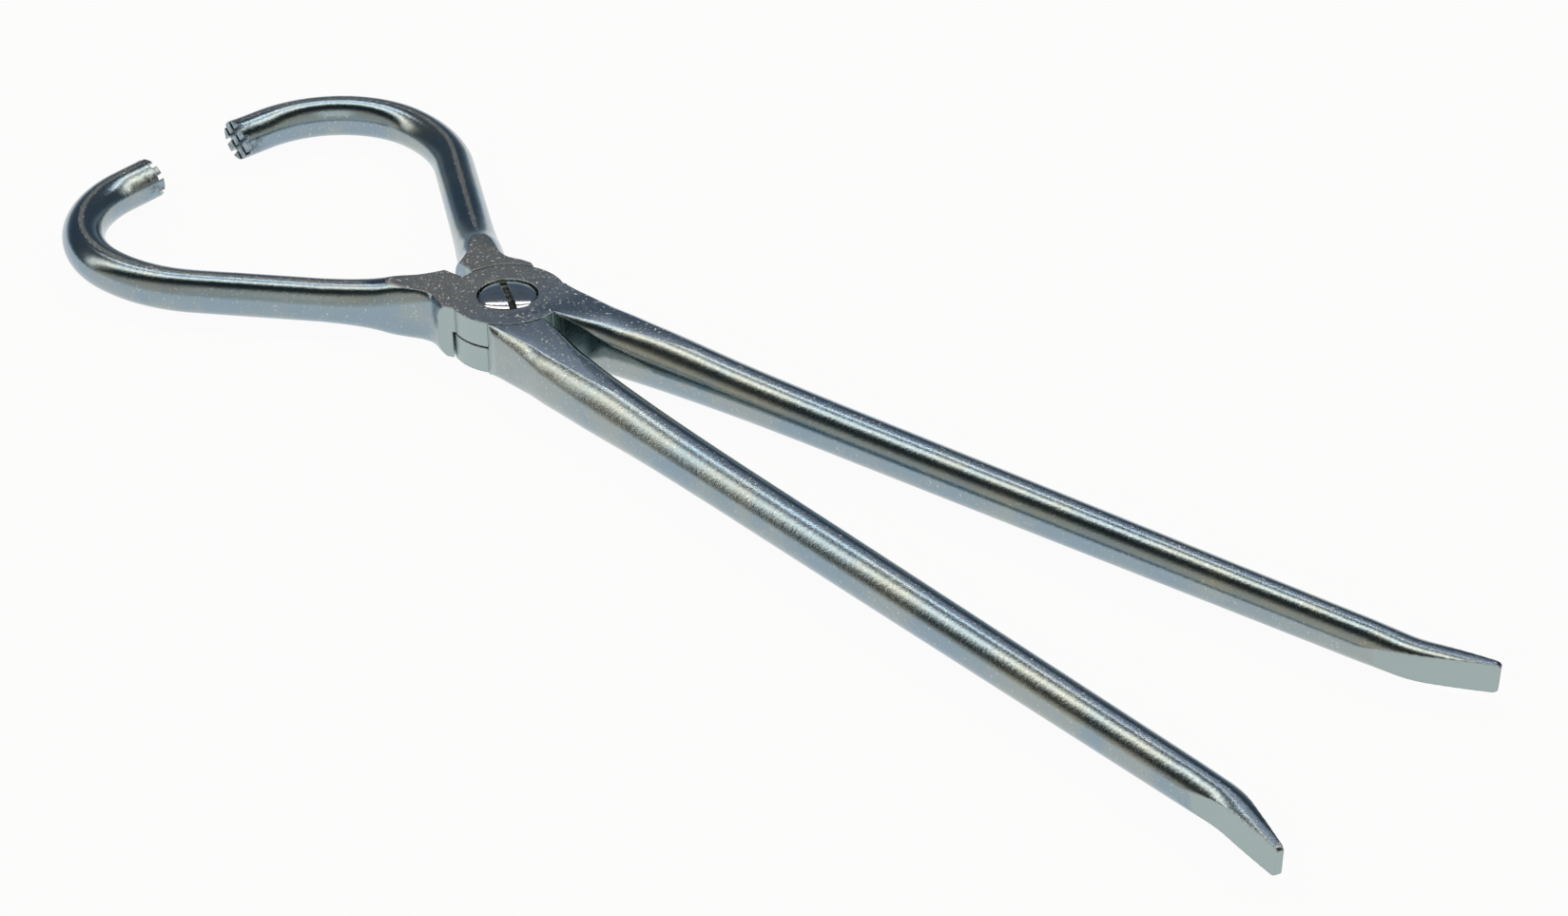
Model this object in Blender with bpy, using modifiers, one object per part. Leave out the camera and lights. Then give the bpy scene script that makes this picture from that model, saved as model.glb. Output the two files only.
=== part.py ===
"""Hook-jawed steel tongs: two forged levers that cross in a lap joint on one slotted screw.

Metres, +Z up. The origin is on the pivot axis, in the plane of the joint's underside. The handles
run along +X and the jaws along -X. The tongs lie flat, opened a little, so that the X axis halves
the angle between them. Both levers come from one die: the lower is the upper turned over about X.
"""

import math

import bmesh
import bpy
from mathutils import Matrix, Vector

MM = 0.001

# Lap joint
JOINT_THICKNESS = 12.0 * MM
DISC_RADIUS = 12.2 * MM
SEAM_GAP = 0.4 * MM  # between the two discs, at mid thickness
SEAT_CLEARANCE = 0.4 * MM  # between a disc and the other lever's shoulders round it

# Travel. Each lever's root ends in radial faces, whose directions these angles give
NECK_ANGLE = math.radians(7.0)  # inner faces of the necks and of the crotch, from the X axis
JAW_STOP_ANGLE = math.radians(71.0)  # outer faces, which stop the opening
HANDLE_STOP_ANGLE = math.radians(65.0)
JAW_FLAT_LEAN = math.radians(48.0)  # milled flat on the jaw's outer side, off the stop face
HANDLE_FLAT_LEAN = math.radians(47.0)  # the same on the handle's outer side

# Pivot screw
HEAD_RADIUS = 6.1 * MM
HEAD_CLEARANCE = 0.35 * MM
COUNTERBORE_DEPTH = 3.2 * MM
HEAD_RIM_HEIGHT = 2.3 * MM
HEAD_DOME_HEIGHT = 1.2 * MM
SLOT_WIDTH = 1.6 * MM
SLOT_DEPTH = 1.9 * MM
SLOT_TURN = math.radians(-31.0)
SHOULDER_RADIUS = 4.5 * MM
THREAD_RADIUS = 4.0 * MM
SCREW_CLEARANCE = 0.3 * MM
SCREW_END_CHAMFER = 0.5 * MM

# Jaw, from its tip to the joint: a short straight, two bends and a long straight leg
JAW_RADIUS = 4.6 * MM
TIP_REACH = 105.6 * MM  # pivot to the middle of the toothed end face
TIP_ANGLE = math.radians(6.7)  # direction of that face, which lies along a radius, from the X axis
TIP_LEAN = math.radians(4.0)  # of the straight behind the face, off the Y axis
TIP_LENGTH = 8.0 * MM
TIGHT_BEND_RADIUS = 25.5 * MM
WIDE_BEND_RADIUS = 37.4 * MM
LEG_ANGLE = math.radians(35.0)

# Teeth on the jaw's end face
TOOTH_PITCH = 3.0 * MM
GROOVE_WIDTH = 1.1 * MM
GROOVE_DEPTH = 1.3 * MM
GROOVE_TURN = math.radians(45.0)

# Handle: straight and tapering, then a blade ground flat on both sides that turns outwards
HANDLE_ANGLE = math.radians(6.0)
HANDLE_OFFSET = 6.4 * MM  # handle's centre line to the pivot, across X
HANDLE_ROOT_RADIUS = 5.75 * MM
HANDLE_END_RADIUS = 4.05 * MM
HANDLE_ROOT_RISE = 0.08  # the root is this much higher than wide, so that the flats run on
TAPER_START = 38.0 * MM
BLADE_START = 196.0 * MM
BLADE_LENGTH = 24.5 * MM
BLADE_BEND_START = 6.5 * MM
BLADE_BEND_RADIUS = 20.0 * MM
BLADE_TURN = math.radians(16.0)
BLADE_TIP_THICKNESS = 1.3 * MM
BLADE_TIP_HEIGHT = 6.0 * MM

RING_POINTS = 32
BEND_STEP = math.radians(9.0)
BLADE_STEPS = 12
TURNED_STEPS = 64
DOME_STEPS = 8
DISC_STOCK = 0.6 * MM  # cut off the disc's blank
CUTTER_REACH = 38.0 * MM  # past the necks and the crotch


def clear_scene():
    for obj in list(bpy.data.objects):
        bpy.data.objects.remove(obj, do_unlink=True)


def new_collection(name):
    collection = bpy.data.collections.new(name)
    bpy.context.scene.collection.children.link(collection)
    return collection


def steel(name, colour, roughness):
    material = bpy.data.materials.new(name)
    material.use_nodes = True
    shader = material.node_tree.nodes["Principled BSDF"]
    shader.inputs["Base Color"].default_value = (*colour, 1.0)
    shader.inputs["Roughness"].default_value = roughness
    shader.inputs["Metallic"].default_value = 1.0
    return material


def object_from(name, bm, collection):
    bmesh.ops.recalc_face_normals(bm, faces=bm.faces)
    mesh = bpy.data.meshes.new(name)
    bm.to_mesh(mesh)
    bm.free()
    obj = bpy.data.objects.new(name, mesh)
    collection.objects.link(obj)
    return obj


def as_helper(obj, parent):
    """A cutter or a joined shape: it follows its lever and isn't a part itself."""
    obj.parent = parent
    obj.hide_render = True
    obj.display_type = "WIRE"
    return obj


def boolean(target, other, operation):
    modifier = target.modifiers.new(other.name, "BOOLEAN")
    modifier.operation = operation
    modifier.object = other


def cylinder(name, radius, bottom, top, collection):
    bm = bmesh.new()
    middle = Matrix.Translation((0.0, 0.0, (bottom + top) / 2.0))
    bmesh.ops.create_cone(
        bm, cap_ends=True, segments=TURNED_STEPS, radius1=radius, radius2=radius,
        depth=top - bottom, matrix=middle,
    )
    return object_from(name, bm, collection)


def block(name, size, place, collection):
    """A block that grows from the place's origin along its X and Y, and both ways in height."""
    bm = bmesh.new()
    bmesh.ops.create_cube(bm, size=1.0)
    bmesh.ops.translate(bm, verts=bm.verts, vec=(0.5, 0.5, 0.0))
    bmesh.ops.scale(bm, verts=bm.verts, vec=size)
    bmesh.ops.transform(bm, verts=bm.verts, matrix=place)
    return object_from(name, bm, collection)


def placed(point, heading):
    return Matrix.Translation((point.x, point.y, 0.0)) @ Matrix.Rotation(heading, 4, "Z")


def gap(name, first, last, collection):
    """What is cut away outside the disc, at full height, between two directions."""
    bm = bmesh.new()
    count = math.ceil((last - first) / math.tau * TURNED_STEPS)
    turns = [first + (last - first) * i / count for i in range(count + 1)]
    inner = [direction(turn) * DISC_RADIUS for turn in turns]
    outer = [direction(turn) * CUTTER_REACH for turn in reversed(turns)]
    verts = [bm.verts.new((point.x, point.y, -JOINT_THICKNESS)) for point in inner + outer]
    made = bmesh.ops.extrude_face_region(bm, geom=[bm.faces.new(verts)])
    lifted = [item for item in made["geom"] if isinstance(item, bmesh.types.BMVert)]
    bmesh.ops.translate(bm, verts=lifted, vec=(0.0, 0.0, 2.0 * JOINT_THICKNESS))
    return object_from(name, bm, collection)


# Bars -----------------------------------------------------------------------------------------


def direction(heading):
    return Vector((math.cos(heading), math.sin(heading)))


def left_of(heading):
    return direction(heading + math.pi / 2.0)


def arc_stations(point, heading, radius, turn):
    """Stations along an arc that starts at the point and turns left (or right, if negative)."""
    side = math.copysign(radius, turn)
    centre = point + left_of(heading) * side
    steps = max(2, math.ceil(abs(turn) / BEND_STEP))
    stations = []
    for i in range(steps + 1):
        now = heading + turn * i / steps
        stations.append((centre - left_of(now) * side, now))
    return stations


def ring(station, left, right, half_height, squareness=2.0, half_ground=math.inf):
    """A superellipse across the path, reaching left and right of it by different amounts.

    half_ground is half the thickness that is left between two ground flats.
    """
    point, heading = station
    half_width = (left + right) / 2.0
    middle = point + left_of(heading) * (left - right) / 2.0
    points = []
    for i in range(RING_POINTS):
        turn = math.tau * (i + 0.5) / RING_POINTS
        side, rise = math.cos(turn), math.sin(turn)
        side = math.copysign(abs(side) ** (2.0 / squareness), side)
        rise = math.copysign(abs(rise) ** (2.0 / squareness), rise)
        side = max(-half_ground, min(half_ground, side * half_width))
        plan = middle + left_of(heading) * side
        points.append((plan.x, plan.y, rise * half_height))
    return points


def round_ring(station, radius):
    return ring(station, radius, radius, radius)


def loft(name, rings, collection):
    bm = bmesh.new()
    rows = [[bm.verts.new(point) for point in points] for points in rings]
    for row, following in zip(rows[:-1], rows[1:]):
        for i in range(RING_POINTS):
            j = (i + 1) % RING_POINTS
            bm.faces.new((row[i], row[j], following[j], following[i]))
    bm.faces.new(rows[0])
    bm.faces.new(rows[-1])
    return object_from(name, bm, collection)


def jaw_tip():
    """The middle of the toothed face, and the heading that leads into the jaw from there."""
    return direction(math.pi + TIP_ANGLE) * TIP_REACH, TIP_LEAN - math.pi / 2.0


def jaw(name, collection):
    tip, heading = jaw_tip()
    tight_start = tip + direction(heading) * TIP_LENGTH
    tight = arc_stations(tight_start, heading, TIGHT_BEND_RADIUS, -heading)
    wide = arc_stations(tight[-1][0], 0.0, WIDE_BEND_RADIUS, LEG_ANGLE)
    leg_end, leg_heading = wide[-1]
    end_face = (tip, TIP_ANGLE - math.pi / 2.0)
    rings = [round_ring(station, JAW_RADIUS) for station in [end_face] + tight + wide[1:]]
    # The leg swells into the joint, counted from the foot of the pivot on the leg's line
    foot = leg_end.dot(direction(LEG_ANGLE))
    swelling = (
        # before the foot, left, right and half height in joint thicknesses; squareness
        (3.40, 0.385, 0.385, 0.385, 2.0),
        (2.90, 0.390, 0.395, 0.410, 2.0),
        (2.45, 0.405, 0.410, 0.455, 2.1),
        (2.08, 0.415, 0.425, 0.530, 2.3),
        (1.72, 0.435, 0.425, 0.555, 2.6),
        (1.50, 0.500, 0.435, 0.565, 3.0),
        (1.29, 0.600, 0.540, 0.580, 3.4),
        (1.11, 0.690, 0.765, 0.600, 4.0),
        (0.85, 0.800, 0.950, 0.600, 5.0),
        (0.55, 0.900, 1.080, 0.600, 5.0),
    )
    for before, left, right, height, squareness in swelling:
        along = -foot - before * JOINT_THICKNESS
        station = (leg_end + direction(leg_heading) * along, leg_heading)
        sizes = [value * JOINT_THICKNESS for value in (left, right, height)]
        rings.append(ring(station, *sizes, squareness))
    return loft(name, rings, collection)


def handle_station(x):
    return (Vector((x, HANDLE_OFFSET + x * math.tan(HANDLE_ANGLE))), HANDLE_ANGLE)


def blade_station(along):
    """A station on the blade's line: a straight, a bend, and straight again to the tip."""
    start, heading = handle_station(BLADE_START)
    bent = min(max(along - BLADE_BEND_START, 0.0) / BLADE_BEND_RADIUS, BLADE_TURN)
    before = min(along, BLADE_BEND_START)
    after = max(along - BLADE_BEND_START - BLADE_BEND_RADIUS * BLADE_TURN, 0.0)
    centre_side = left_of(heading) * BLADE_BEND_RADIUS
    now = heading + bent
    point = start + direction(heading) * before + centre_side - left_of(now) * BLADE_BEND_RADIUS
    return point + direction(now) * after, now


def handle(name, collection):
    swelling = (
        # distance from the pivot, left, right and half height in joint thicknesses; squareness
        (0.25, 0.500, 0.640, 0.560, 4.5),
        (0.75, 0.425, 0.640, 0.550, 4.2),
        (1.05, 0.420, 0.630, 0.545, 3.8),
        (1.35, 0.425, 0.610, 0.540, 3.3),
        (1.63, 0.440, 0.590, 0.535, 2.8),
        (2.05, 0.475, 0.540, 0.530, 2.4),
        (2.45, 0.475, 0.515, 0.530, 2.2),
    )
    rings = []
    for away, left, right, height, squareness in swelling:
        sizes = [value * JOINT_THICKNESS for value in (left, right, height)]
        rings.append(ring(handle_station(away * JOINT_THICKNESS), *sizes, squareness))
    for share in (0.0, 0.1, 0.22, 0.36, 0.5, 0.75, 1.0):
        x = TAPER_START + (BLADE_START - TAPER_START) * share
        radius = HANDLE_ROOT_RADIUS + (HANDLE_END_RADIUS - HANDLE_ROOT_RADIUS) * share ** 0.8
        rise = 1.0 + HANDLE_ROOT_RISE * max(0.0, 1.0 - share / 0.36)
        rings.append(ring(handle_station(x), radius, radius, radius * rise))
    for i in range(1, BLADE_STEPS + 1):
        share = i / BLADE_STEPS
        height = HANDLE_END_RADIUS + (BLADE_TIP_HEIGHT / 2.0 - HANDLE_END_RADIUS) * share
        ground = HANDLE_END_RADIUS + (BLADE_TIP_THICKNESS / 2.0 - HANDLE_END_RADIUS) * share
        width = HANDLE_END_RADIUS
        station = blade_station(BLADE_LENGTH * share)
        rings.append(ring(station, width, width, height, half_ground=ground))
    return loft(name, rings, collection)


# Lever ----------------------------------------------------------------------------------------


def milled_flats(collection):
    """Blocks that mill the outer sides of the roots flat, beside their stop faces."""
    reach = (0.9 * JOINT_THICKNESS, 0.9 * JOINT_THICKNESS, 2.0 * JOINT_THICKNESS)
    jaw_corner = direction(math.pi + JAW_STOP_ANGLE) * DISC_RADIUS
    jaw_heading = math.pi + JAW_STOP_ANGLE - JAW_FLAT_LEAN
    handle_corner = direction(HANDLE_STOP_ANGLE) * DISC_RADIUS
    handle_heading = HANDLE_STOP_ANGLE - HANDLE_FLAT_LEAN
    return [
        block("jaw_flat", reach, placed(jaw_corner, jaw_heading), collection),
        block("handle_flat", reach, placed(handle_corner, handle_heading), collection),
    ]


def tooth_grooves(collection):
    """Crossed slots in the jaw's end face: blocks that lie in the face, on both sides of it."""
    tip, _ = jaw_tip()
    along_face = Matrix.Rotation(math.pi + TIP_ANGLE, 4, "Z")
    length = 4.0 * JAW_RADIUS
    blocks = []
    for turn in (GROOVE_TURN, GROOVE_TURN + math.pi / 2.0):
        for side in (-0.5, 0.5):
            centred = Matrix.Translation((-length / 2.0, -GROOVE_DEPTH, side * TOOTH_PITCH))
            place = placed(tip, 0.0) @ along_face @ Matrix.Rotation(turn, 4, "Y") @ centred
            name = f"groove_{len(blocks) + 1}"
            blocks.append(block(name, (length, 3.0 * GROOVE_DEPTH, GROOVE_WIDTH), place, collection))
    return blocks


def lever(name, turned_over, material, parts, helpers):
    """Both levers share this. Its middle plane is at z = 0, and its half of the joint is above."""
    half = JOINT_THICKNESS / 2.0
    body = jaw(name, parts)
    body.location.z = half
    if turned_over:
        body.rotation_euler.x = math.pi
    blank = cylinder("disc_blank", DISC_RADIUS + DISC_STOCK, -2.0 * half, 2.0 * half, helpers)
    seat = cylinder("seat", DISC_RADIUS + SEAT_CLEARANCE, -3.0 * half, SEAM_GAP / 2.0, helpers)
    size = (8.0 * TIP_REACH, 8.0 * TIP_REACH, JOINT_THICKNESS)
    corner = Vector((-0.5, -0.5)) * size[0]
    faces = block("joint_faces", size, placed(corner, 0.0), helpers)
    boolean(body, as_helper(handle("handle_bar", helpers), body), "UNION")
    boolean(body, as_helper(blank, body), "UNION")
    boolean(body, as_helper(faces, body), "INTERSECT")
    gaps = [
        gap("jaw_side_gap", HANDLE_STOP_ANGLE, math.pi + NECK_ANGLE, helpers),
        gap("handle_side_gap", math.pi + JAW_STOP_ANGLE, math.tau + NECK_ANGLE, helpers),
    ]
    cutters = gaps + milled_flats(helpers) + [seat]
    for cutter in cutters + tooth_grooves(helpers):
        boolean(body, as_helper(cutter, body), "DIFFERENCE")
    body.data.materials.append(material)
    return body


def upper_lever(parts, helpers):
    body = lever("upper_lever", False, steel("forged_steel_upper", (0.47, 0.5, 0.54), 0.33), parts, helpers)
    half = JOINT_THICKNESS / 2.0
    radius = HEAD_RADIUS + HEAD_CLEARANCE
    counterbore = cylinder("counterbore", radius, half - COUNTERBORE_DEPTH, 2.0 * half, helpers)
    bore = cylinder("shoulder_bore", SHOULDER_RADIUS + SCREW_CLEARANCE, -half, half, helpers)
    boolean(body, as_helper(counterbore, body), "DIFFERENCE")
    boolean(body, as_helper(bore, body), "DIFFERENCE")
    return body


def lower_lever(parts, helpers):
    body = lever("lower_lever", True, steel("forged_steel_lower", (0.45, 0.49, 0.54), 0.33), parts, helpers)
    radius = THREAD_RADIUS + SCREW_CLEARANCE
    bore = cylinder("thread_bore", radius, -JOINT_THICKNESS, JOINT_THICKNESS, helpers)
    boolean(body, as_helper(bore, body), "DIFFERENCE")
    return body


# Screw ----------------------------------------------------------------------------------------


def screw_profile():
    """Half the screw's outline, from the middle of its dome to the middle of its end."""
    head_bottom = JOINT_THICKNESS - COUNTERBORE_DEPTH + SCREW_CLEARANCE
    rim_top = head_bottom + HEAD_RIM_HEIGHT
    lower_disc_top = (JOINT_THICKNESS - SEAM_GAP) / 2.0
    shoulder_bottom = lower_disc_top + SCREW_CLEARANCE
    points = []
    for i in range(DOME_STEPS + 1):
        turn = math.pi / 2.0 * i / DOME_STEPS
        points.append((math.sin(turn) * HEAD_RADIUS, rim_top + math.cos(turn) * HEAD_DOME_HEIGHT))
    return points + [
        (HEAD_RADIUS, head_bottom),
        (SHOULDER_RADIUS, head_bottom),
        (SHOULDER_RADIUS, shoulder_bottom),
        (THREAD_RADIUS, shoulder_bottom),
        (THREAD_RADIUS, SCREW_END_CHAMFER),
        (THREAD_RADIUS - SCREW_END_CHAMFER, 0.0),
        (0.0, 0.0),
    ]


def pivot_screw(parts, helpers):
    bm = bmesh.new()
    verts = [bm.verts.new((radius, 0.0, height)) for radius, height in screw_profile()]
    for above, below in zip(verts[:-1], verts[1:]):
        bm.edges.new((above, below))
    mesh = bpy.data.meshes.new("pivot_screw")
    bm.to_mesh(mesh)
    bm.free()
    screw = bpy.data.objects.new("pivot_screw", mesh)
    parts.objects.link(screw)
    turning = screw.modifiers.new("turned", "SCREW")
    turning.steps = TURNED_STEPS
    turning.render_steps = TURNED_STEPS
    turning.use_merge_vertices = True
    turning.merge_threshold = 0.00001
    top = screw_profile()[0][1]
    length = 4.0 * HEAD_RADIUS
    place = Matrix.Rotation(SLOT_TURN, 4, "Z") @ Matrix.Translation((-length / 2.0, -SLOT_WIDTH / 2.0, top))
    slot = block("driver_slot", (length, SLOT_WIDTH, 2.0 * SLOT_DEPTH), place, helpers)
    boolean(screw, as_helper(slot, screw), "DIFFERENCE")
    screw.data.materials.append(steel("polished_steel", (0.78, 0.79, 0.8), 0.14))
    return screw


def build():
    clear_scene()
    parts = new_collection("hook_jawed_tongs")
    helpers = new_collection("cutters")
    lower_lever(parts, helpers)
    upper_lever(parts, helpers)
    pivot_screw(parts, helpers)
    bpy.context.view_layer.update()


build()
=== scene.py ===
import math

import bmesh
import bpy
from mathutils import Matrix, Vector


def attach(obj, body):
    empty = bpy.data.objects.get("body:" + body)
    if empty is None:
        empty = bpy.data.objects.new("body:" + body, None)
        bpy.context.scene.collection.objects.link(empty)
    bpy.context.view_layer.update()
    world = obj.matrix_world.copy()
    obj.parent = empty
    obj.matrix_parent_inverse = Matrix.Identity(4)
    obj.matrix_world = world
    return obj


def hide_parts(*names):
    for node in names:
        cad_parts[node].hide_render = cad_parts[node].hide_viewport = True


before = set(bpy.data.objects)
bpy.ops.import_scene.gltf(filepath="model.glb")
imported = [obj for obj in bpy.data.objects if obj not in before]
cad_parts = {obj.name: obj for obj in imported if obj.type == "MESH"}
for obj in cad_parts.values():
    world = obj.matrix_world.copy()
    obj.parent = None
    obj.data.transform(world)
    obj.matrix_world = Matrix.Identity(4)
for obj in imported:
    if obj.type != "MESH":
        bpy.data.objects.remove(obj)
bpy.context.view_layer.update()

mm = 0.001


class Socket:  # wraps a node's output, so that shader maths reads as arithmetic
    def __init__(self, tree, out):
        self.tree = tree
        self.out = out

    def maths(self, operation, first, second=0.0):
        return self.tree.add("ShaderNodeMath", {"operation": operation}, {0: first, 1: second})

    def __add__(self, other):
        return self.maths("ADD", self, other)

    __radd__ = __add__

    def __mul__(self, other):
        return self.maths("MULTIPLY", self, other)

    __rmul__ = __mul__

    def __sub__(self, other):
        return self.maths("SUBTRACT", self, other)

    def __rsub__(self, other):
        return self.maths("SUBTRACT", other, self)

    def __gt__(self, other):
        return self.maths("GREATER_THAN", self, other)

    def __lt__(self, other):
        return self.maths("LESS_THAN", self, other)

    def absolute(self):
        return self.maths("ABSOLUTE", self)

    def ramp(self, low, high, toLow=0.0, toHigh=1.0):  # smooth step from low to high
        values = {"Value": self, "From Min": low, "From Max": high, "To Min": toLow, "To Max": toHigh}
        return self.tree.add("ShaderNodeMapRange", {"interpolation_type": "SMOOTHSTEP"}, values)


class Nodes:  # makes the nodes of one material or world
    def __init__(self, owner):
        owner.use_nodes = True
        self.nodes = owner.node_tree.nodes
        self.links = owner.node_tree.links
        self.nodes.clear()

    def add(self, kind, settings=None, inputs=None, output=0):
        node = self.nodes.new(kind)
        for name, value in (settings or {}).items():
            if name == "stops":
                while len(node.color_ramp.elements) < len(value):
                    node.color_ramp.elements.new(0.5)
                for element, (place, colour) in zip(node.color_ramp.elements, value):
                    element.position = place
                    element.color = (*colour, 1.0)
            else:
                setattr(node, name, value)
        for key, value in (inputs or {}).items():
            if isinstance(value, Socket):
                self.links.new(value.out, node.inputs[key])
            else:
                node.inputs[key].default_value = value
        return Socket(self, node.outputs[output]) if node.outputs else None

    def mixColour(self, factor, first, second):
        inputs = {0: factor, 6: first, 7: second}
        return self.add("ShaderNodeMix", {"data_type": "RGBA"}, inputs, 2)

    def axes(self, vector):
        node = self.nodes.new("ShaderNodeSeparateXYZ")
        self.links.new(vector.out, node.inputs[0])
        return [Socket(self, out) for out in node.outputs]

    def stretched(self, vector, scale):
        return self.add("ShaderNodeMapping", {}, {"Vector": vector, "Scale": scale})

    def noise(self, vector, scale, detail=4.0, roughness=0.5):
        inputs = {"Vector": vector, "Scale": scale, "Detail": detail, "Roughness": roughness}
        return self.add("ShaderNodeTexNoise", {}, inputs)


def meshObject(name, bm):
    bmesh.ops.recalc_face_normals(bm, faces=bm.faces)
    mesh = bpy.data.meshes.new(name)
    bm.to_mesh(mesh)
    bm.free()
    obj = bpy.data.objects.new(name, mesh)
    bpy.context.scene.collection.objects.link(obj)
    return obj


def remove(obj):
    mesh = obj.data
    bpy.data.objects.remove(obj, do_unlink=True)
    if mesh.users == 0:
        bpy.data.meshes.remove(mesh)


def applied(obj, name):  # as its modifiers make it, with its place in the mesh
    bpy.context.view_layer.update()
    graph = bpy.context.evaluated_depsgraph_get()
    mesh = bpy.data.meshes.new_from_object(obj.evaluated_get(graph))
    mesh.transform(obj.matrix_world)
    remove(obj)
    plain = bpy.data.objects.new(name, mesh)
    mesh.name = name
    bpy.context.scene.collection.objects.link(plain)
    return plain


def cut(obj, cutter, operation="DIFFERENCE", crossed=False):  # crossed: the cutter runs through itself
    modifier = obj.modifiers.new("cut", "BOOLEAN")
    modifier.use_self = crossed
    modifier.operation = operation
    modifier.object = cutter
    bpy.context.view_layer.update()
    graph = bpy.context.evaluated_depsgraph_get()
    mesh = bpy.data.meshes.new_from_object(obj.evaluated_get(graph))
    obj.modifiers.clear()
    old = obj.data
    obj.data = mesh
    bpy.data.meshes.remove(old)
    remove(cutter)


def direction(heading):
    return Vector((math.cos(heading), math.sin(heading)))


def leftOf(heading):
    return direction(heading + math.pi / 2.0)


def rod(name, radius, bottom, top, steps=160):
    bm = bmesh.new()
    bmesh.ops.create_cone(bm, cap_ends=True, segments=steps, radius1=radius, radius2=radius,
                          depth=top - bottom, matrix=Matrix.Translation((0.0, 0.0, (bottom + top) / 2.0)))
    return meshObject(name, bm)


def block(name, size, place):  # grows along the place's X and Y, and both ways in height
    bm = bmesh.new()
    bmesh.ops.create_cube(bm, size=1.0)
    bmesh.ops.translate(bm, verts=bm.verts, vec=(0.5, 0.5, 0.0))
    bmesh.ops.scale(bm, verts=bm.verts, vec=size)
    bmesh.ops.transform(bm, verts=bm.verts, matrix=place)
    return meshObject(name, bm)


def placed(point, heading):
    return Matrix.Translation((point.x, point.y, 0.0)) @ Matrix.Rotation(heading, 4, "Z")


def between(rows, at):  # a row of the table at any place, on a smooth curve through the rows
    places = [row[0] for row in rows]
    i = max(0, min(len(rows) - 2, sum(place <= at for place in places) - 1))
    span = places[i + 1] - places[i]
    t = (at - places[i]) / span

    def slope(k, column):
        low, high = max(k - 1, 0), min(k + 1, len(rows) - 1)
        return (rows[high][column] - rows[low][column]) / (places[high] - places[low]) * span

    values = []
    for column in range(1, len(rows[0])):
        a, b = rows[i][column], rows[i + 1][column]
        curve = (2 * t ** 3 - 3 * t ** 2 + 1) * a + (3 * t ** 2 - 2 * t ** 3) * b
        curve += (t ** 3 - 2 * t ** 2 + t) * slope(i, column) + (t ** 3 - t ** 2) * slope(i + 1, column)
        values.append(curve)
    return values


# how finely the bars of the levers are lofted
barFinish = {"ringPoints": 96, "bendStep": math.radians(2.5), "rootStep": 1.0 * mm, "barStep": 3.0 * mm}


def ring(station, left, right, halfHeight, squareness=2.0, halfGround=math.inf):
    point, heading = station
    halfWidth = (left + right) / 2.0
    middle = point + leftOf(heading) * (left - right) / 2.0
    points = []
    for i in range(barFinish["ringPoints"]):
        turn = math.tau * (i + 0.5) / barFinish["ringPoints"]
        side, rise = math.cos(turn), math.sin(turn)
        side = math.copysign(abs(side) ** (2.0 / squareness), side) * halfWidth
        rise = math.copysign(abs(rise) ** (2.0 / squareness), rise) * halfHeight
        if abs(side) > halfGround:  # spreads the points over the ground flat, edge to edge
            edge = (1.0 - (halfGround / halfWidth) ** 2) ** 0.5 * halfHeight
            full = (1.0 - min(abs(side) / halfWidth, 1.0) ** 2) ** 0.5 * halfHeight
            rise = math.copysign(min(full, edge), rise)
            side = math.copysign(halfGround, side)
        plan = middle + leftOf(heading) * side
        points.append((plan.x, plan.y, rise))
    return points


def loft(name, rings):
    bm = bmesh.new()
    rows = [[bm.verts.new(point) for point in points] for points in rings]
    count = len(rows[0])
    for row, following in zip(rows[:-1], rows[1:]):
        for i in range(count):
            j = (i + 1) % count
            bm.faces.new((row[i], row[j], following[j], following[i]))
    bm.faces.new(rows[0])
    bm.faces.new(rows[-1])
    return meshObject(name, bm)


def arcStations(point, heading, radius, turn):
    centre = point + leftOf(heading) * radius
    steps = max(2, math.ceil(abs(turn) / barFinish["bendStep"]))
    headings = [heading + turn * i / steps for i in range(steps + 1)]
    return [(centre - leftOf(now) * radius, now) for now in headings]


joint = {
    "thickness": 12.0 * mm, "discRadius": 12.2 * mm, "seam": 0.4 * mm, "seat": 0.4 * mm,
    "neckAngle": math.radians(7.0), "jawStop": math.radians(71.0), "handleStop": math.radians(65.0),
    "jawFlatLean": math.radians(48.0), "handleFlatLean": math.radians(47.0), "flatReach": 10.8 * mm,
    "cutReach": 38.0 * mm, "stock": 0.6 * mm,
}

jawBar = {
    "radius": 4.6 * mm, "reach": 105.6 * mm, "tipAngle": math.radians(6.7), "lean": math.radians(4.0),
    "tip": 8.0 * mm, "tightBend": 25.5 * mm, "wideBend": 37.4 * mm, "leg": math.radians(35.0),
    # before the foot, left, right and half height in mm; squareness
    "swelling": (
        (-40.8, 4.62, 4.62, 4.62, 2.0), (-34.8, 4.68, 4.74, 4.92, 2.0), (-29.4, 4.86, 4.92, 5.46, 2.1),
        (-25.0, 4.98, 5.10, 6.30, 2.3), (-20.6, 5.22, 5.10, 6.66, 2.6), (-18.0, 6.00, 5.22, 6.78, 3.0),
        (-15.5, 7.20, 6.48, 6.96, 3.4), (-13.3, 8.28, 9.18, 7.20, 4.0), (-10.2, 9.60, 11.4, 7.20, 5.0),
        (-6.6, 10.8, 12.96, 7.20, 5.0),
    ),
}

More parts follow.
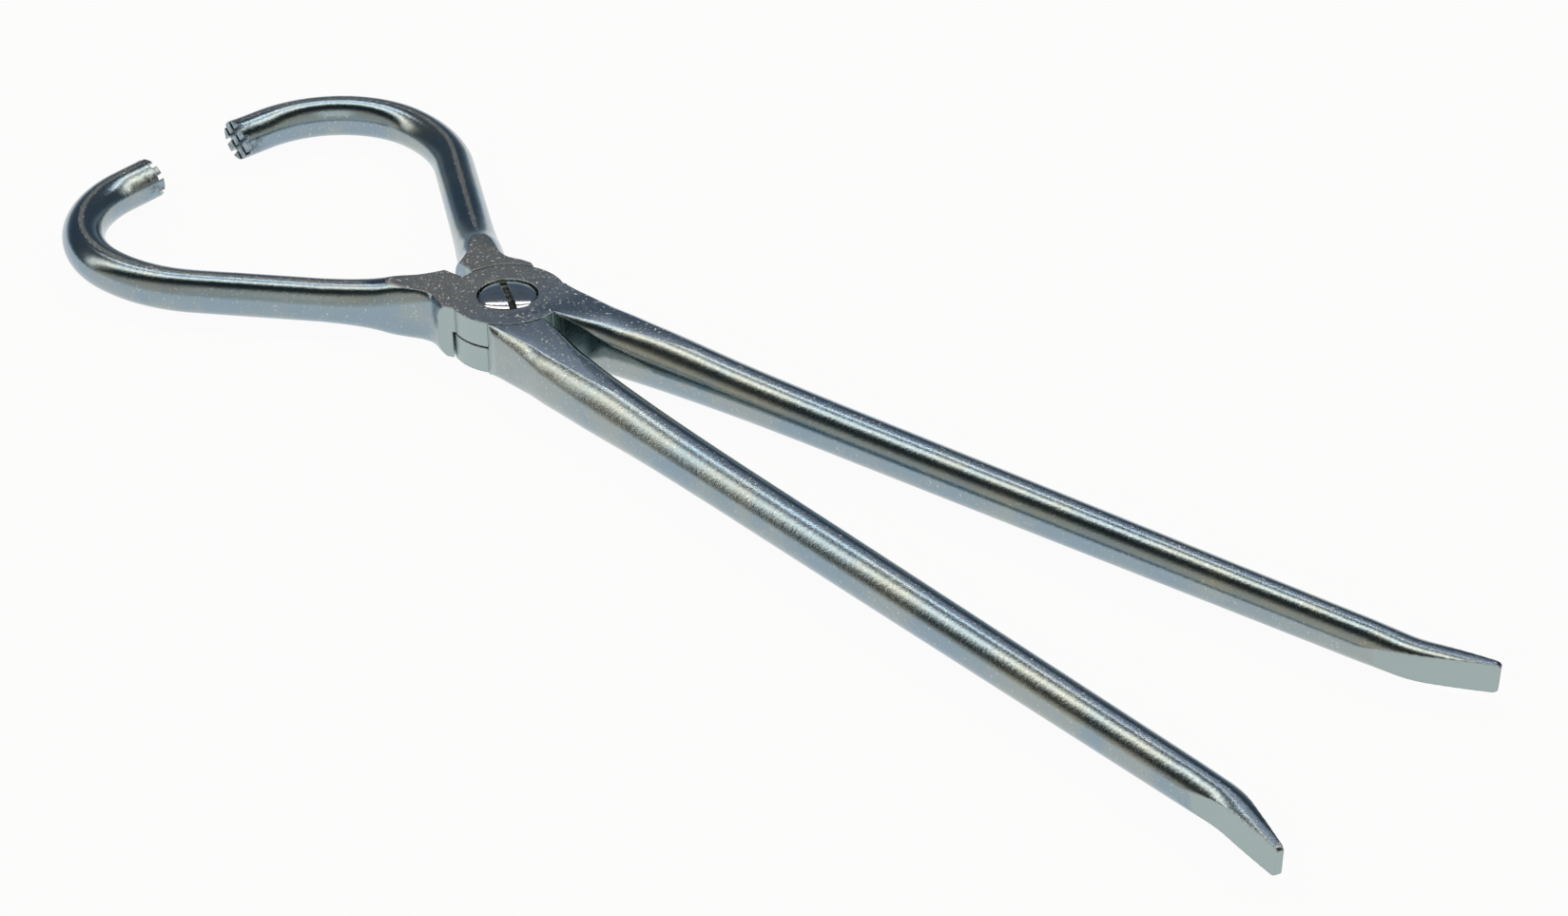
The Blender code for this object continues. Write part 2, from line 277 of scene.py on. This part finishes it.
handleBar = {
    "angle": math.radians(6.0), "offset": 6.4 * mm, "rootRadius": 5.75 * mm, "endRadius": 4.05 * mm,
    "taperStart": 38.0 * mm, "bladeStart": 196.0 * mm, "bladeLength": 24.5 * mm, "bendStart": 6.5 * mm,
    "bendRadius": 20.0 * mm, "bladeTurn": math.radians(16.0), "tipThickness": 1.3 * mm,
    "tipHeight": 6.0 * mm, "bladeSteps": 60,
    # distance from the pivot, left, right and half height in mm; squareness
    "swelling": (
        (3.0, 6.00, 7.68, 6.72, 4.5), (9.0, 5.10, 7.68, 6.60, 4.2), (12.6, 5.04, 7.56, 6.54, 3.8),
        (16.2, 5.10, 7.32, 6.48, 3.3), (19.56, 5.28, 7.08, 6.42, 2.8), (24.6, 5.70, 6.48, 6.36, 2.4),
        (29.4, 5.70, 6.18, 6.36, 2.2), (38.0, 5.75, 5.75, 6.21, 2.0), (53.8, 5.27, 5.27, 5.49, 2.0),
        (72.8, 5.02, 5.02, 5.05, 2.0), (94.9, 4.87, 4.87, 4.87, 2.0), (117.0, 4.71, 4.71, 4.71, 2.0),
        (156.5, 4.38, 4.38, 4.38, 2.0), (196.0, 4.05, 4.05, 4.05, 2.0),
    ),
}


def jawTip():
    return direction(math.pi + jawBar["tipAngle"]) * jawBar["reach"]


def makeJaw():
    bar = jawBar
    tip, heading = jawTip(), bar["lean"] - math.pi / 2.0
    tight = arcStations(tip + direction(heading) * bar["tip"], heading, bar["tightBend"], -heading)
    wide = arcStations(tight[-1][0], 0.0, bar["wideBend"], bar["leg"])
    bends = [(tip, bar["tipAngle"] - math.pi / 2.0)] + tight + wide[1:]
    rings = [ring(station, *[bar["radius"]] * 3) for station in bends]
    legEnd, legHeading = wide[-1]
    foot = -legEnd.dot(direction(legHeading))
    first, last = bar["swelling"][0][0] * mm, bar["swelling"][-1][0] * mm
    count = round((last - first) / barFinish["rootStep"])
    for i in range(count + 1):
        at = first + (last - first) * i / count
        left, right, height, squareness = between(bar["swelling"], at / mm)
        station = (legEnd + direction(legHeading) * (foot + at), legHeading)
        rings.append(ring(station, left * mm, right * mm, height * mm, squareness))
    return loft("jaw", rings)


def handleStation(x):
    return Vector((x, handleBar["offset"] + x * math.tan(handleBar["angle"]))), handleBar["angle"]


def bladeStation(along):
    bar = handleBar
    start, heading = handleStation(bar["bladeStart"])
    radius = bar["bendRadius"]
    bent = min(max(along - bar["bendStart"], 0.0) / radius, bar["bladeTurn"])
    before = min(along, bar["bendStart"])
    after = max(along - bar["bendStart"] - radius * bar["bladeTurn"], 0.0)
    now = heading + bent
    point = start + direction(heading) * before + (leftOf(heading) - leftOf(now)) * radius
    return point + direction(now) * after, now


def makeHandle():
    bar = handleBar
    rings = []
    x, end = bar["swelling"][0][0] * mm, bar["bladeStart"]
    while x < end - barFinish["rootStep"]:
        left, right, height, squareness = between(bar["swelling"], x / mm)
        rings.append(ring(handleStation(x), left * mm, right * mm, height * mm, squareness))
        x += barFinish["rootStep"] if x < bar["taperStart"] else barFinish["barStep"]
    steps = bar["bladeSteps"]
    for i in range(steps + 1):
        share = i / steps
        height = bar["endRadius"] + (bar["tipHeight"] / 2.0 - bar["endRadius"]) * share
        ground = bar["endRadius"] + (bar["tipThickness"] / 2.0 - bar["endRadius"]) * share
        fromEnd = (1.0 - share) * bar["bladeLength"]
        if fromEnd < 0.8 * mm:  # the blade's corners are rounded off
            height -= 0.5 * mm * (1.0 - fromEnd / (0.8 * mm)) ** 2
        station = bladeStation(bar["bladeLength"] * share)
        rings.append(ring(station, bar["endRadius"], bar["endRadius"], height, halfGround=ground))
    return loft("handle", rings)


# Geometry Nodes lay the crossed slots that cut the jaw's end face
teeth = {"pitch": 3.0 * mm, "slot": 1.1 * mm, "depth": 1.3 * mm, "turn": math.radians(45.0), "slots": 2}


def slotTree():
    tree = bpy.data.node_groups.new("crossedSlots", "GeometryNodeTree")
    face = tree.interface
    for name in ("Pitch", "Slot", "Depth", "Length", "Turn"):
        face.new_socket(name, in_out="INPUT", socket_type="NodeSocketFloat")
    face.new_socket("Slots", in_out="INPUT", socket_type="NodeSocketInt")
    face.new_socket("Metal", in_out="INPUT", socket_type="NodeSocketMaterial")
    face.new_socket("Geometry", in_out="OUTPUT", socket_type="NodeSocketGeometry")

    def add(kind, links, **settings):
        node = tree.nodes.new(kind)
        for name, value in settings.items():
            setattr(node, name, value)
        for key, value in links.items():
            if isinstance(value, bpy.types.NodeSocket):
                tree.links.new(value, node.inputs[key])
            else:
                node.inputs[key].default_value = value
        return node

    given = tree.nodes.new("NodeGroupInput").outputs
    size = add("ShaderNodeCombineXYZ", {0: given["Length"], 1: given["Depth"], 2: given["Slot"]})
    cube = add("GeometryNodeMeshCube", {"Size": size.outputs[0]})
    step = add("ShaderNodeCombineXYZ", {2: given["Pitch"]})
    line = add("GeometryNodeMeshLine", {"Count": given["Slots"], "Offset": step.outputs[0]})
    half = add("ShaderNodeMath", {0: given["Pitch"], 1: -0.5}, operation="MULTIPLY")
    down = add("ShaderNodeCombineXYZ", {2: half.outputs[0]})
    centred = add("GeometryNodeTransform", {"Geometry": line.outputs[0], "Translation": down.outputs[0]})
    rows = add("GeometryNodeInstanceOnPoints", {"Points": centred.outputs[0], "Instance": cube.outputs[0]})
    crossed = add("GeometryNodeJoinGeometry", {})
    for quarter in (0.0, math.pi / 2.0):
        angle = add("ShaderNodeMath", {0: given["Turn"], 1: quarter}, operation="ADD")
        turn = add("ShaderNodeCombineXYZ", {1: angle.outputs[0]})
        turned = add("GeometryNodeTransform", {"Geometry": rows.outputs[0], "Rotation": turn.outputs[0]})
        tree.links.new(turned.outputs[0], crossed.inputs[0])
    real = add("GeometryNodeRealizeInstances", {0: crossed.outputs[0]})
    painted = add("GeometryNodeSetMaterial", {"Geometry": real.outputs[0], "Material": given["Metal"]})
    out = tree.nodes.new("NodeGroupOutput")
    tree.links.new(painted.outputs[0], out.inputs[0])
    return tree


def toothSlots(metal):
    tree = slotTree()
    host = meshObject("slots", bmesh.new())
    modifier = host.modifiers.new("slots", "NODES")
    modifier.node_group = tree
    values = {"Pitch": teeth["pitch"], "Slot": teeth["slot"], "Depth": 2.0 * teeth["depth"],
              "Length": 4.0 * jawBar["radius"], "Turn": teeth["turn"], "Slots": teeth["slots"], "Metal": metal}
    for item in tree.interface.items_tree:
        if item.in_out == "INPUT":
            modifier[item.identifier] = values[item.name]
    host.matrix_world = placed(jawTip(), math.pi + jawBar["tipAngle"])
    slots = applied(host, "toothSlots")
    bm = bmesh.new()
    bm.from_mesh(slots.data)
    bmesh.ops.remove_doubles(bm, verts=bm.verts, dist=0.001 * mm)
    bm.to_mesh(slots.data)
    bm.free()
    return slots


def gapCut(name, first, last):  # milled away outside the disc, between two directions
    bm = bmesh.new()
    count = math.ceil((last - first) / math.tau * 160)
    turns = [first + (last - first) * i / count for i in range(count + 1)]
    inner = [direction(turn) * joint["discRadius"] for turn in turns]
    outer = [direction(turn) * joint["cutReach"] for turn in reversed(turns)]
    bottom = -joint["thickness"]
    verts = [bm.verts.new((point.x, point.y, bottom)) for point in inner + outer]
    made = bmesh.ops.extrude_face_region(bm, geom=[bm.faces.new(verts)])
    lifted = [item for item in made["geom"] if isinstance(item, bmesh.types.BMVert)]
    bmesh.ops.translate(bm, verts=lifted, vec=(0.0, 0.0, -2.0 * bottom))
    return meshObject(name, bm)


def makeForging(metal):
    half = joint["thickness"] / 2.0
    body = makeJaw()
    cut(body, makeHandle(), "UNION")
    cut(body, rod("blank", joint["discRadius"] + joint["stock"], -2.0 * half, 2.0 * half), "UNION")
    span = 1.0
    slab = block("slab", (span, span, 2.0 * half), placed(Vector((-span / 2.0, -span / 2.0)), 0.0))
    cut(body, slab, "INTERSECT")
    cut(body, gapCut("jawSide", joint["handleStop"], math.pi + joint["neckAngle"]))
    cut(body, gapCut("handleSide", math.pi + joint["jawStop"], math.tau + joint["neckAngle"]))
    reach = (joint["flatReach"], joint["flatReach"], 4.0 * half)
    corners = (
        (math.pi + joint["jawStop"], joint["jawFlatLean"]), (joint["handleStop"], joint["handleFlatLean"]),
    )
    for stop, lean in corners:
        cut(body, block("flat", reach, placed(direction(stop) * joint["discRadius"], stop - lean)))
    cut(body, rod("seat", joint["discRadius"] + joint["seat"], -3.0 * half, joint["seam"] / 2.0))
    cut(body, toothSlots(metal), crossed=True)
    return body


def finishLever(body, name, node, bodyName, metal):
    mesh = body.data
    mesh.materials.clear()
    mesh.materials.append(metal)
    mesh.polygons.foreach_set("material_index", [0] * len(mesh.polygons))
    mesh.shade_smooth()
    mesh.set_sharp_from_angle(angle=math.radians(28.0))
    body.name = name
    mesh.name = name
    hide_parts(node)
    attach(body, bodyName)
    print(name, len(mesh.polygons), "faces")


screw = {
    "headRadius": 6.1 * mm, "headClearance": 0.35 * mm, "counterbore": 3.2 * mm, "rim": 2.3 * mm,
    "dome": 1.2 * mm, "slotWidth": 1.6 * mm, "slotDepth": 1.9 * mm, "slotTurn": math.radians(-31.0),
    "shoulder": 4.5 * mm, "thread": 4.0 * mm, "clearance": 0.3 * mm, "endChamfer": 0.5 * mm,
    "rimRound": 0.35 * mm, "steps": 144,
}


def makeScrew(metal):
    thick = joint["thickness"]
    headBottom = thick - screw["counterbore"] + screw["clearance"]
    rimTop = headBottom + screw["rim"]
    shoulderBottom = (thick - joint["seam"]) / 2.0 + screw["clearance"]
    radius, soft = screw["headRadius"], screw["rimRound"]
    points = []
    for i in range(25):
        turn = math.pi / 2.0 * i / 24
        points.append((math.sin(turn) * radius, rimTop + math.cos(turn) ** 1.15 * screw["dome"]))
    points += [
        (radius, headBottom + soft), (radius - soft, headBottom), (screw["shoulder"], headBottom),
        (screw["shoulder"], shoulderBottom), (screw["thread"], shoulderBottom),
        (screw["thread"], screw["endChamfer"]), (screw["thread"] - screw["endChamfer"], 0.0), (0.0, 0.0),
    ]
    bm = bmesh.new()
    verts = [bm.verts.new((r, 0.0, z)) for r, z in points]
    for above, below in zip(verts[:-1], verts[1:]):
        bm.edges.new((above, below))
    mesh = bpy.data.meshes.new("pivotScrew")
    bm.to_mesh(mesh)
    bm.free()
    body = bpy.data.objects.new("pivotScrew", mesh)
    bpy.context.scene.collection.objects.link(body)
    turned = body.modifiers.new("turned", "SCREW")
    turned.steps = turned.render_steps = screw["steps"]
    turned.use_merge_vertices = True
    turned.merge_threshold = 0.00001
    body = applied(body, "pivotScrew")
    length = 4.0 * radius
    top = points[0][1]
    corner = Matrix.Translation((-length / 2.0, -screw["slotWidth"] / 2.0, top))
    place = Matrix.Rotation(screw["slotTurn"], 4, "Z") @ corner
    cut(body, block("slot", (length, screw["slotWidth"], 2.0 * screw["slotDepth"]), place))
    finishLever(body, "pivotScrew", "pivot_screw", "lower", metal)
    return body


steelFinish = {
    "plate": (0.265, 0.35, 0.41), "warmPlate": (0.345, 0.39, 0.385), "blasted": (0.27, 0.34, 0.43),
    # speck is the colour of painted glints, bright matt dots on the faces and bars
    "speck": (0.85, 0.83, 0.76), "ground": (0.37, 0.45, 0.445), "dirt": (0.05, 0.055, 0.06),
    "barRoughness": 0.15, "faceRoughness": 0.34, "groundRoughness": 0.38, "edgeRound": 0.42 * mm,
    # the warm blasted colour is a painted sheen on the jaw side of the joint faces
    "paintedSheenBlasted": (0.44, 0.44, 0.42), "grainScale": 1900.0, "pitScale": 800.0, "patchScale": 55.0,
    "speckleScale": 1700.0, "bump": 0.8, "bumpDepth": 0.035 * mm, "groundReach": 15.0 * mm,
}


def steelPlate(name):
    finish = steelFinish
    material = bpy.data.materials.new(name)
    tree = Nodes(material)
    at = tree.add("ShaderNodeTexCoord", output=3)
    x, y = tree.axes(at)[:2]
    facing = tree.add("ShaderNodeNewGeometry", output=3)  # true normal of the face
    up = tree.axes(facing)[2].absolute()
    radius = x.maths("SQRT", x * x + y * y)
    flat = up.ramp(0.985, 0.998)  # the milled faces of the joint, blasted
    wall = up.ramp(0.05, 0.12, 1.0, 0.0)
    ground = wall * (radius < finish["groundReach"])  # disc edge and stop faces, ground upright
    blade = up.ramp(0.10, 0.25, 1.0, 0.0) * x.ramp(0.1985, 0.2005)
    grain = tree.noise(at, finish["grainScale"], 5.0, 0.65)
    pits = tree.noise(at, finish["pitScale"], 3.0, 0.6)
    patches = tree.noise(at, finish["patchScale"], 3.0, 0.55)
    marks = tree.noise(tree.stretched(at, (2600.0, 2600.0, 90.0)), 1.0, 3.0, 0.6)
    # speckle: painted glints in the colour, made matt, and also bumps and rougher spots
    speckle = tree.noise(at, finish["speckleScale"], 2.0, 0.5).ramp(0.63, 0.69)
    side = x.ramp(-0.016, 0.018)  # painted warm sheen: joint faces go from a warm, lighter colour at the jaws to slate at the handles
    base = tree.mixColour(patches.ramp(0.38, 0.66), (*finish["plate"], 1.0), (*finish["warmPlate"], 1.0))
    blasted = tree.mixColour(side, (*finish["paintedSheenBlasted"], 1.0), (*finish["blasted"], 1.0))
    blasted = tree.mixColour(speckle * 0.9, blasted, (*finish["speck"], 1.0))
    colour = tree.mixColour(flat, base, blasted)
    colour = tree.mixColour(speckle * (1.0 - flat) * 0.25, colour, (*finish["speck"], 1.0))
    colour = tree.mixColour(tree.add("ShaderNodeMath", {"operation": "MAXIMUM"}, {0: ground, 1: blade}),
                            colour, (*finish["ground"], 1.0))
    nearTip = (x < -0.1000) * y.absolute().ramp(0.0145, 0.0185, 1.0, 0.0)
    grime = nearTip * tree.noise(at, 700.0, 4.0, 0.7).ramp(0.45, 0.62) * 0.55
    colour = tree.mixColour(grime, colour, (*finish["dirt"], 1.0))
    rough = patches * 0.10 + (finish["barRoughness"] - 0.05)
    rough = rough + flat * (finish["faceRoughness"] - finish["barRoughness"])
    rough = rough + blade * (finish["groundRoughness"] - finish["barRoughness"])
    rough = rough + ground * 0.12 + (grain - 0.5) * 0.2 + speckle * flat * 0.25
    heights = grain * (0.9 + flat * 0.9) + speckle * flat * 0.8 + pits * (0.7 - ground * 0.5) + marks * ground * 1.1
    edge = tree.add("ShaderNodeBevel", {"samples": 4}, {"Radius": finish["edgeRound"]})
    bump = {"Strength": finish["bump"], "Distance": finish["bumpDepth"], "Height": heights, "Normal": edge}
    normal = tree.add("ShaderNodeBump", {}, bump)
    shader = tree.add("ShaderNodeBsdfPrincipled", {}, {"Base Color": colour, "Roughness": rough,
                                                       "Metallic": 1.0 - speckle * flat * 0.9,
                                                       "Normal": normal})
    tree.add("ShaderNodeOutputMaterial", {}, {"Surface": shader})
    return material


def screwPolish():
    material = bpy.data.materials.new("screwPolish")
    tree = Nodes(material)
    at = tree.add("ShaderNodeTexCoord", output=3)
    x, y, z = tree.axes(at)
    turn = screw["slotTurn"]
    across = (x * -math.sin(turn) + y * math.cos(turn)).absolute()
    inSlot = across.ramp(0.82 * mm, 0.98 * mm, 1.0, 0.0)
    # painted shade: the slot's deep part is coloured dark, standing for the shade that falls in it
    deep = z.ramp(10.9 * mm, 11.9 * mm, 1.0, 0.0) * inSlot
    smears = tree.noise(at, 420.0, 4.0, 0.6)
    scratches = tree.noise(tree.stretched(at, (5200.0, 700.0, 900.0)), 1.0, 2.0, 0.6)
    polishedColour = tree.mixColour(smears.ramp(0.35, 0.7), (0.80, 0.82, 0.84, 1.0), (0.62, 0.65, 0.68, 1.0))
    paintedSlotShade = tree.mixColour(smears.ramp(0.42, 0.6), (0.07, 0.075, 0.07, 1.0), (0.34, 0.34, 0.32, 1.0))
    colour = tree.mixColour(deep, polishedColour, paintedSlotShade)
    rough = smears * 0.12 + 0.05 + deep * 0.3
    edge = tree.add("ShaderNodeBevel", {"samples": 4}, {"Radius": 0.18 * mm})
    heights = smears * 0.7 + scratches * 0.3 + deep * smears
    bump = {"Strength": 0.4, "Distance": 0.02 * mm, "Height": heights, "Normal": edge}
    normal = tree.add("ShaderNodeBump", {}, bump)
    shader = tree.add("ShaderNodeBsdfPrincipled", {}, {"Base Color": colour, "Roughness": rough,
                                                       "Metallic": 1.0, "Normal": normal})
    tree.add("ShaderNodeOutputMaterial", {}, {"Surface": shader})
    return material


# both levers come from one forging, and the lower one is turned over
upperMetal = steelPlate("upperPlate")
lowerMetal = steelPlate("lowerPlate")
half = joint["thickness"] / 2.0
forging = makeForging(upperMetal)
turnedOver = bpy.data.objects.new("lowerForging", forging.data.copy())
bpy.context.scene.collection.objects.link(turnedOver)
headRadius = screw["headRadius"] + screw["headClearance"]
cut(forging, rod("counterbore", headRadius, half - screw["counterbore"], 2.0 * half))
cut(forging, rod("shoulderBore", screw["shoulder"] + screw["clearance"], -half, half, 96))
cut(turnedOver, rod("threadBore", screw["thread"] + screw["clearance"], -2.0 * half, 2.0 * half, 96))
forging.data.transform(Matrix.Translation((0.0, 0.0, half)))
turnedOver.data.transform(Matrix.Translation((0.0, 0.0, half)) @ Matrix.Rotation(math.pi, 4, "X"))
finishLever(forging, "upperLever", "upper_lever", "upper", upperMetal)
finishLever(turnedOver, "lowerLever", "lower_lever", "lower", lowerMetal)
makeScrew(screwPolish())
print("levers and screw finished")


studio = {
    "floorWhite": 0.93, "floorGlow": 0.94, 
    "lightPlace": (-0.55, 0.60, 1.15), "lightSize": (1.6, 0.12),
    "lightWatts": 2.6, "fillPlace": (0.5, -0.7, 0.75), "fillSize": (0.7, 0.7), "fillWatts": 0.7,
}

viewer = {
    "place": (0.42607, -0.37849, 0.34627), "azimuth": math.radians(42.577), "down": math.radians(33.505),
    "roll": math.radians(-0.055), "lens": 72.32,
}


def makeFloor():
    bm = bmesh.new()
    bmesh.ops.create_grid(bm, x_segments=1, y_segments=1, size=6.0)
    floor = meshObject("floor", bm)
    material = bpy.data.materials.new("paleFloor")
    tree = Nodes(material)
    path = tree.nodes.new("ShaderNodeLightPath").outputs
    seen = Socket(tree, path["Is Camera Ray"]) + Socket(tree, path["Is Glossy Ray"])
    seen = seen + Socket(tree, path["Is Transmission Ray"])
    matt = tree.add("ShaderNodeBsdfDiffuse", {}, {"Color": (*[studio["floorWhite"]] * 3, 1.0)})
    glow = tree.add("ShaderNodeEmission", {}, {"Color": (1.0, 1.0, 1.0, 1.0), "Strength": 1.0})
    both = tree.add("ShaderNodeMixShader", {}, {0: (seen > 0.5) * studio["floorGlow"], 1: matt, 2: glow})
    tree.add("ShaderNodeOutputMaterial", {}, {"Surface": both})
    floor.data.materials.append(material)


def makeLamp(name, place, size, watts):
    lamp = bpy.data.lights.new(name, "AREA")
    lamp.shape = "RECTANGLE"
    lamp.size, lamp.size_y = size
    lamp.energy = watts
    obj = bpy.data.objects.new(name, lamp)
    bpy.context.scene.collection.objects.link(obj)
    obj.location = place
    obj.rotation_euler = (-Vector(place)).to_track_quat("-Z", "Y").to_euler()


def makeSky():  # a studio room: bands of light and dark over the table, from front to back
    world = bpy.data.worlds.new("studioRoom")
    bpy.context.scene.world = world
    tree = Nodes(world)
    ray = tree.add("ShaderNodeTexCoord")
    x, y, z = tree.axes(ray)
    front = x * math.sin(viewer["azimuth"]) - y * math.cos(viewer["azimuth"])
    over = z.maths("ARCTAN2", z, front) * (1.0 / math.pi)  # 0 at the front, 1 at the back
    bands = tree.add("ShaderNodeValToRGB", {"stops": (
        (0.00, (0.85, 0.87, 0.85)), (0.07, (0.70, 0.66, 0.58)), (0.28, (0.66, 0.58, 0.47)),
        (0.35, (0.14, 0.13, 0.11)), (0.40, (0.025, 0.032, 0.030)), (0.535, (0.022, 0.032, 0.034)),
        (0.57, (3.2, 2.9, 2.5)), (0.605, (3.0, 2.8, 2.5)), (0.64, (0.08, 0.09, 0.105)),
        (0.92, (0.07, 0.10, 0.135)), (1.00, (0.36, 0.42, 0.48)),
    )}, {"Fac": over})
    room = tree.add("ShaderNodeBackground", {}, {"Color": bands, "Strength": 1.0})
    tree.add("ShaderNodeOutputWorld", {}, {"Surface": room})


def makeCamera():
    camera = bpy.data.cameras.new("viewer")
    camera.lens = viewer["lens"]
    camera.clip_start = 0.01
    obj = bpy.data.objects.new("viewer", camera)
    bpy.context.scene.collection.objects.link(obj)
    tilt = Matrix.Rotation(math.pi / 2.0 - viewer["down"], 4, "X")
    turn = Matrix.Rotation(viewer["azimuth"], 4, "Z") @ tilt
    obj.matrix_world = Matrix.Translation(viewer["place"]) @ turn @ Matrix.Rotation(viewer["roll"], 4, "Z")
    bpy.context.scene.camera = obj


makeFloor()
makeLamp("backStrip", studio["lightPlace"], studio["lightSize"], studio["lightWatts"])
makeLamp("frontFill", studio["fillPlace"], studio["fillSize"], studio["fillWatts"])
makeSky()
makeCamera()
print("floor, lamps, room and camera made")
bpy.context.scene.view_settings.view_transform = "Standard"
